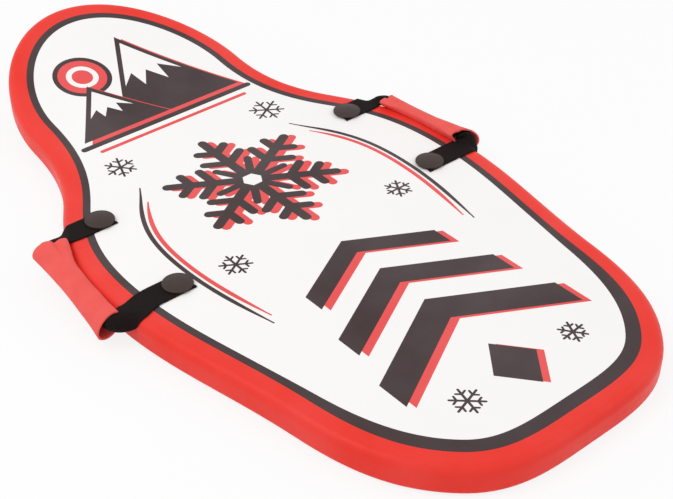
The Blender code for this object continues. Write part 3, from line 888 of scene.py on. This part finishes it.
def base_profile():
    """Flange let into the underside, with the post's tube on it and a shallow dish below."""
    flange_top = BASE_RECESS + BASE_FLANGE_THICKNESS
    mouth = BASE_RECESS + BASE_TUBE_HEIGHT
    bore = POST_RADIUS + FIT_GAP
    dish = BASE_RECESS + BASE_DISH_DEPTH
    return [(0.0, flange_top), (bore, flange_top), (bore, mouth - BASE_TUBE_CHAMFER),
            (bore + BASE_TUBE_CHAMFER, mouth), (BASE_TUBE_RADIUS - BASE_TUBE_CHAMFER, mouth),
            (BASE_TUBE_RADIUS, mouth - BASE_TUBE_CHAMFER), (BASE_TUBE_RADIUS, flange_top),
            (BASE_FLANGE_RADIUS - BASE_FLANGE_CHAMFER, flange_top),
            (BASE_FLANGE_RADIUS, flange_top - BASE_FLANGE_CHAMFER),
            (BASE_FLANGE_RADIUS, BASE_RECESS + BASE_FLANGE_CHAMFER),
            (BASE_FLANGE_RADIUS - BASE_FLANGE_CHAMFER, BASE_RECESS),
            (BASE_DISH_RADIUS, BASE_RECESS), (BASE_DISH_FLOOR_RADIUS, dish), (0.0, dish)]


def build_plugs(material):
    for side_name, side in (("left", -1), ("right", 1)):
        for end_name, end in (("front", 1), ("rear", -1)):
            name = side_name + "_" + end_name
            place = Vector((side * PLUG_X, PLUG_MIDDLE_Y + end * PLUG_HALF_SPACING_Y, 0.0))
            build_turned(name + "_cap", cap_profile(), place, material, name + "_plug_cap")
            build_turned(name + "_base", base_profile(), place, material, name + "_plug_base")


# Handles

def handle_frame(handle):
    """Middle of the sleeve's front end and of its rear end, and the way from one to the other."""
    front, rear = [Vector((handle["side"] * out, PLUG_MIDDLE_Y + end * along, DECK + height))
                   for end, out, along, height
                   in zip((1, -1), handle["out"], handle["along"], handle["height"])]
    return front, rear, (rear - front).normalized()


def section_axes(handle, run, share):
    """Long and short axis of the grip's section: its lean turns from one end to the other."""
    front_lean, rear_lean = handle["lean"]
    lean = front_lean + (rear_lean - front_lean) * share
    across = Vector((handle["side"] * cos(lean), 0.0, -sin(lean)))
    across = (across - run * across.dot(run)).normalized()
    return across, run.cross(across) * handle["side"]


def section_halves(handle, share):
    """Half of the section's long and short side, which widen towards both mouths."""
    flare = abs(2 * share - 1) ** FLARE_POWER
    return [(waist + (end - waist) * flare) / 2
            for waist, end in zip(handle["waist"], handle["flare"])]


def strap_offset(handle, share):
    """How far off the grip's middle line the curled strap's back runs, just under the wall."""
    _, short_half = section_halves(handle, share)
    return short_half - GRIP_WALL - WEBBING_THICKNESS / 2 - FIT_GAP * 3


def plan_route(side, end, mouth, into, radius):
    """Level places from the hinge line to the mouth, each with the strap's outer side there."""
    out = Vector((side, 0.0, 0.0))
    away = FORE * end
    hinge = Vector((side * HINGE_X, PLUG_MIDDLE_Y + end * PLUG_HALF_SPACING_Y, 0.0))
    start = hinge + out * LEAD_RUN
    finish = mouth + into * MOUTH_DEPTH
    finish.z = 0.0
    bend = atan2(-into.dot(away), into.dot(out))
    corner = finish - out * radius * sin(bend) + away * radius * (1 - cos(bend))
    reach = out * (corner - start).dot(out) * ROUTE_HANDLE_SHARE
    cage = (start, start + reach, corner - reach, corner)
    stops = [(hinge + out * LEAD_RUN * k / LEAD_STEPS, away) for k in range(LEAD_STEPS)]
    for step in range(RUN_STEPS):
        place, heading = bezier(cage, step / RUN_STEPS)
        stops.append((place, away * heading.dot(out) - out * heading.dot(away)))
    for step in range(ARC_STEPS + 1):
        angle = bend * step / ARC_STEPS
        place = corner + out * radius * sin(angle) - away * radius * (1 - cos(angle))
        stops.append((place, out * sin(angle) + away * cos(angle)))
    return stops


def free_stations(handle, k, end, mouth, into, crown):
    """From the hinge line to the mouth: the strap lifts, rolls over and starts to curl."""
    lean, twist, rise, radius = (handle[key][k] for key in ("lean", "twist", "rise", "turn"))
    stops = plan_route(handle["side"], end, mouth, into, radius)
    runs = [0.0]
    for before, after in zip(stops, stops[1:]):
        runs.append(runs[-1] + (after[0] - before[0]).length)
    shares = [(run - LEAD_RUN) / (runs[-1] - LEAD_RUN) for run in runs]
    corner = shares[LEAD_STEPS + RUN_STEPS]
    begin = max(share for share, (place, _) in zip(shares, stops)
                if abs(place.x) <= STRAP_FLAT_TO_X[k])
    last_height = (mouth + into * MOUTH_DEPTH).z
    places = []
    for share, (place, _) in zip(shares, stops):
        late = ease((share - corner) / (1 - corner))
        height = WEBBING_MIDDLE + rise * ease(share / corner)
        height += (last_height - WEBBING_MIDDLE - rise) * late
        places.append(place + UP * height + crown * strap_offset(handle, k) * late)
    stations = []
    for i, (share, (_, outer)) in enumerate(zip(shares, stops)):
        heading = places[min(i + 1, len(places) - 1)] - places[max(i - 1, 0)]
        level = (outer - heading * outer.dot(heading) / heading.dot(heading)).normalized()
        top = (heading.cross(level) * handle["side"] * end).normalized()
        if share <= 0.0:
            level, top = outer, UP
        if share < corner:
            roll = twist * ease((share - begin) / (corner - begin))
        else:
            roll = twist + (lean - twist) * ease((share - corner) / (1 - corner))
        curl = handle["curl_share"] * ease((share - begin) / (1 - begin))
        stations.append((places[i], level * cos(roll) - top * sin(roll),
                         top * cos(roll) + level * sin(roll), curl))
    return stations[:-1]


def sleeve_stations(handle, k, end, mouth, centre, run, length):
    """From the mouth almost to the sleeve's middle, curled close under its wall."""
    stations = []
    for step in range(CURL_STEPS + 1):
        inside = (length * SLEEVE_REACH_SHARE - MOUTH_DEPTH) * step / CURL_STEPS
        share = k + end * (MOUTH_DEPTH + inside) / length
        closed = ease(inside / CURL_RUN)
        curl = handle["curl_share"] + (1 - handle["curl_share"]) * closed
        across, crown = section_axes(handle, run, share)
        place = mouth.lerp(centre, closed) + run * end * (MOUTH_DEPTH + inside)
        place += crown * strap_offset(handle, share)
        stations.append((place, across, crown, curl))
    return stations


def webbing_path(handle):
    """Stations from the front plug round to the rear: place, width, face, curl."""
    front, rear, run = handle_frame(handle)
    out = Vector((handle["side"], 0.0, 0.0))
    tab_length = HINGE_X - PLUG_X + WEBBING_END_OVERHANG
    halves = []
    for k, (end, centre) in enumerate(((1, front), (-1, rear))):
        across, crown = section_axes(handle, run, k)
        mouth = centre - across * handle["shift"][k]
        free = free_stations(handle, k, end, mouth, run * end, crown)
        hinge, width, face, _ = free[0]
        tab = [(hinge - out * tab_length * (1 - step / TAB_STEPS), width, face, 0.0)
               for step in range(TAB_STEPS)]
        curled = sleeve_stations(handle, k, end, mouth, centre, run, (rear - front).length)
        halves.append(tab + free + curled)
    return halves[0] + halves[1][::-1]


def smooth_stations(stations):
    """Even out place, width and face along the free run, keeping the flat ends as they are."""
    for _ in range(SMOOTH_ROUNDS):
        before = list(stations)
        for i in range(FLAT_STATIONS, len(stations) - FLAT_STATIONS):
            a, b, c = before[i - 1], before[i], before[i + 1]
            place = b[0] * 0.5 + (a[0] + c[0]) * 0.25
            width = (b[1] * 0.5 + (a[1] + c[1]) * 0.25).normalized()
            face = b[2] * 0.5 + (a[2] + c[2]) * 0.25
            face = (face - width * face.dot(width)).normalized()
            stations[i] = (place, width, face, b[3])
    return stations


def webbing_section():
    """Places round the webbing's section: how far across, and how far over its middle."""
    half = WEBBING_WIDTH / 2
    edge = [-half + WEBBING_EDGE * share for share in WEBBING_EDGE_SHARES]
    flat = [-half + WEBBING_EDGE + (WEBBING_WIDTH - 2 * WEBBING_EDGE) * k / SECTION_SIDES
            for k in range(SECTION_SIDES + 1)]
    upper = []
    for x in edge + flat + [-x for x in reversed(edge)]:
        into = max(0.0, abs(x) - (half - WEBBING_EDGE)) / WEBBING_EDGE
        upper.append((x, WEBBING_THICKNESS / 2 * sqrt(max(0.0, 1 - into**2))))
    return upper + [(x, -over) for x, over in reversed(upper[1:-1])]


def strap_ring(station, section, bend, shear, gap):
    """The section's points at one station, bent to its curl and clear of the board."""
    place, width, face, _ = station
    points = []
    for x, over in section:
        angle = x * bend
        if abs(bend) < NEARLY_FLAT:
            centre, normal = place + width * x, face
        else:
            centre = place + width * sin(angle) / bend - face * (1 - cos(angle)) / bend
            normal = face * cos(angle) + width * sin(angle)
        centre = centre + shear * x / WEBBING_WIDTH
        if abs(centre.x) > HINGE_X + LEAD_RUN / 2:
            centre = clear_of_board(centre, gap)
        points.append(centre + normal * over)
    return points


def weave_faces(bm, loops, marks):
    """Skin the strap, and lay its weave along it, with the underside beside the top."""
    weave = bm.loops.layers.uv.new("weave")
    count = len(loops[0])
    for row in range(len(loops) - 1):
        for i in range(count):
            k = (i + 1) % count
            corners = ((row, i), (row, k), (row + 1, k), (row + 1, i))
            face = bm.faces.new([loops[r][c] for r, c in corners])
            lower = marks[row][i][1] > WEBBING_WIDTH or marks[row][k][1] > WEBBING_WIDTH
            for loop, (r, c) in zip(face.loops, corners):
                along, x = marks[r][c]
                if lower and x <= WEBBING_WIDTH:
                    x += UNDERSIDE_OFFSET
                loop[weave].uv = (along, x)
    for loop in (loops[0], loops[-1]):
        bm.faces.new(loop)
    bmesh.ops.recalc_face_normals(bm, faces=bm.faces)


def build_strap(name, handle, material, nodes):
    """One unbroken strap from plug to plug, through the grip."""
    side = handle["side"]
    mouth_curl = handle["curl_share"]
    stations = smooth_stations(webbing_path(handle))
    section = webbing_section()
    bm = bmesh.new()
    loops, marks = [], []
    length = 0.0
    for i, station in enumerate(stations):
        place, _, _, curl = station
        length += (place - stations[max(i - 1, 0)][0]).length
        from_end = min(i, len(stations) - 1 - i)
        slant = WEBBING_END_SLANT * max(0.0, 1 - from_end / SLANT_STATIONS)
        slant *= 1 if i * 2 < len(stations) else -1
        shear = Vector((side, 0.0, 0.0)) * slant
        inside = ease((curl - mouth_curl) / (1 - mouth_curl))
        gap = WEBBING_THICKNESS / 2 + FIT_GAP + (GRIP_CLEARANCE + GRIP_WALL) * inside
        ring = strap_ring(station, section, curl / handle["curl_radius"], shear, gap)
        loops.append([bm.verts.new(point) for point in ring])
        marks.append([(length, x + (UNDERSIDE_OFFSET if over < 0 else 0.0))
                      for x, over in section])
    weave_faces(bm, loops, marks)
    made = finish_piece(name, bm, [material], None, nodes, sharp_angle=50.0)
    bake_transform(made)


def grip_ring(handle, share):
    """One ring of the sleeve: a leaning oval with its fin, its groove and a faint ripple."""
    front, rear, run = handle_frame(handle)
    across, crown = section_axes(handle, run, share)
    long_half, short_half = section_halves(handle, share)
    front_fin, rear_fin = handle["fin"]
    fin_reach = front_fin * ease(1 - share * FIN_THIRDS)
    fin_reach += rear_fin * ease(1 - (1 - share) * FIN_THIRDS)
    fin = Vector((-handle["side"] * fin_reach, 0.0, 0.0))
    slant, rounding = (at_front * (1 - share) - at_rear * share
                       for at_front, at_rear in (handle["slant"], handle["rounding"]))
    ring = []
    for k in range(GRIP_SIDES):
        angle = 2 * pi * k / GRIP_SIDES
        inboard = max(0.0, -cos(angle))
        tip = 1 + handle["tip"] * inboard**TIP_POWER
        slide = run * slant * (1 - cos(angle)) / 2
        slide += run * rounding * (((1 + cos(angle)) / 2) ** ROUNDING_POWER - 0.5)
        point = front.lerp(rear, share) + slide
        point = point + across * long_half * tip * cos(angle) + crown * short_half * sin(angle)
        point += fin * inboard**FIN_POWER
        outward = across * cos(angle) * short_half + crown * sin(angle) * long_half
        outward.normalize()
        groove = exp(-((angle - GROOVE_ANGLE) / GROOVE_SPREAD) ** 2) * fin.length
        point -= outward * groove * GROOVE_DEPTH_SHARE
        ripple = sum(noise.noise(point * scale) * depth for scale, depth in RIPPLES)
        ring.append(clear_of_board(point + outward * ripple, GRIP_CLEARANCE))
    return ring


def build_grip(name, handle, material, body, node):
    """A rolled foam sleeve: waisted, pinched to a fin on its inboard side, open at both ends."""
    bm = bmesh.new()
    loft(bm, [grip_ring(handle, step / GRIP_STEPS) for step in range(GRIP_STEPS + 1)])
    bm.normal_update()
    front, _, run = handle_frame(handle)
    face = bm.faces[:][GRIP_SIDES * (GRIP_STEPS // 2)]
    centre = face.calc_center_median()
    foot = front + run * (centre - front).dot(run)
    if face.normal.dot(centre - foot) < 0:
        bmesh.ops.reverse_faces(bm, faces=bm.faces)
    made = finish_piece(name, bm, [material], body, (node,), sharp_angle=60.0)
    thicken(made, GRIP_WALL)
    soften = made.modifiers.new("soft_rims", "BEVEL")
    soften.width = GRIP_RIM_ROUNDING
    soften.segments = 3
    soften.limit_method = "ANGLE"
    soften.angle_limit = radians(50)


# Stage, lights and camera

def floor_material():
    """Pale and matt, and lit up to white for the camera, but not so far that its shadow goes."""
    floor = Shader("pale_floor", FLOOR_COLOUR, 0.9, Specular_IOR_Level=0.1)
    glow = floor.add("ShaderNodeEmission")
    glow.inputs["Color"].default_value = PURE_WHITE
    glow.inputs["Strength"].default_value = 1.0
    path = floor.add("ShaderNodeLightPath").outputs
    seen = floor.math("MAXIMUM", path["Is Camera Ray"], path["Is Glossy Ray"])
    share = floor.math("MULTIPLY", seen, FLOOR_GLOW_SHARE)
    mix = floor.add("ShaderNodeMixShader")
    for socket, output in zip(mix.inputs, (share, floor.surface.outputs[0], glow.outputs[0])):
        floor.join(output, socket)
    floor.join(mix.outputs[0], floor.nodes["Material Output"].inputs["Surface"])
    return floor.material


def build_stage():
    mesh = bpy.data.meshes.new("floor")
    corners = [(x * FLOOR_REACH, y * FLOOR_REACH, 0.0)
               for x, y in ((-1, -1), (1, -1), (1, 1), (-1, 1))]
    mesh.from_pydata(corners, [], [(0, 1, 2, 3)])
    mesh.materials.append(floor_material())
    add_object("floor", mesh)


def build_world():
    """White where it is seen or mirrored, and softer as a light."""
    world = bpy.data.worlds.new("studio")
    bpy.context.scene.world = world
    sky = Nodes(world)
    background = sky.nodes["Background"]
    background.inputs["Color"].default_value = PURE_WHITE
    path = sky.add("ShaderNodeLightPath").outputs
    mirrored = sky.math("MAXIMUM", path["Is Glossy Ray"], path["Is Transmission Ray"])
    shown = sky.math("MAXIMUM", path["Is Camera Ray"], mirrored)
    sky.join(sky.span(shown, 0.0, 1.0, WORLD_LEVEL, 1.0), background.inputs["Strength"])


def build_lamps():
    for name, place, size, power in LAMPS:
        lamp = bpy.data.lights.new(name, "AREA")
        lamp.size = size
        lamp.energy = power
        made = add_object(name, lamp)
        made.location = place
        made.rotation_euler = (-Vector(place)).to_track_quat("-Z", "Y").to_euler()


def build_camera():
    back = Vector((sin(CAMERA_AZIMUTH) * cos(CAMERA_ELEVATION),
                   -cos(CAMERA_AZIMUTH) * cos(CAMERA_ELEVATION), sin(CAMERA_ELEVATION)))
    camera = add_object("camera", bpy.data.cameras.new("camera"))
    camera.data.sensor_width = CAMERA_SENSOR
    camera.data.lens = CAMERA_LENS
    camera.location = CAMERA_TARGET + back * CAMERA_DISTANCE
    camera.rotation_euler = (-back).to_track_quat("-Z", "Y").to_euler()
    bpy.context.scene.camera = camera


def dress():
    materials = make_materials()
    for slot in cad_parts["foam_core"].material_slots:
        slot.material = materials["core"]
    build_skin(materials)
    build_runner(materials)
    build_plugs(materials["plug"])
    for side, handle in HANDLES.items():
        body = side + "_handle"
        nodes = (side + "_webbing_loop", side + "_front_webbing_tab", side + "_rear_webbing_tab")
        build_strap(side + "_strap", handle, materials["webbing"], nodes)
        build_grip(side + "_grip", handle, materials["grip"], body, side + "_foam_grip")
    build_stage()
    build_world()
    build_lamps()
    build_camera()
    bpy.context.scene.view_settings.view_transform = "Standard"


dress()
bpy.context.view_layer.update()
